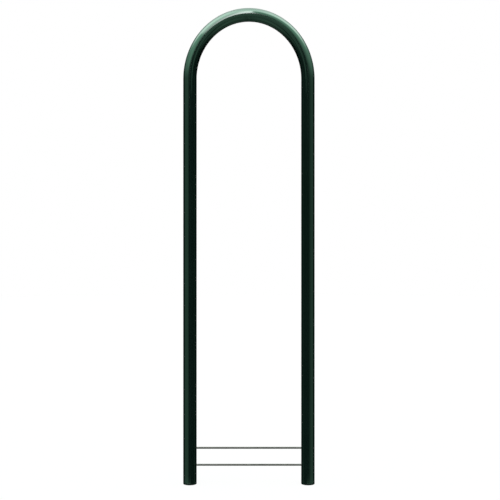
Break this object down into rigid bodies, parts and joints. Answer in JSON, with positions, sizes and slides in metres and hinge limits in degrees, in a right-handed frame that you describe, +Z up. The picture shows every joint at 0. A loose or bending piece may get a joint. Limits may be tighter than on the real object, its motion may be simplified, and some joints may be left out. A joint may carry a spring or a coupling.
{
  "type": "garden arch stand",
  "caption": "Tall inverted-U arch of coated round steel tube with thin cross rods between the legs near the feet, for setting in the ground.",
  "frame": {"origin": "on the ground, midway between the two feet, under the tube's axis", "axes": "+Z up the legs; the arch stands in the XZ plane with its legs at -X and +X; +Y is square to the arch"},
  "size_m": [0.4144, 0.0424, 1.5],
  "materials": {
    "green_coat": "glossy dark fir-green powder coat on steel tube",
    "zinc_rod": "dull grey galvanised round steel",
    "green_plastic": "satin dark green moulded plug"
  },
  "bodies": {
    "root": {"arch_tube": "green_coat", "upper_anchor_rod": "zinc_rod", "lower_anchor_rod": "zinc_rod", "left_foot_cap": "green_plastic", "right_foot_cap": "green_plastic"}
  },
  "joints": []
}
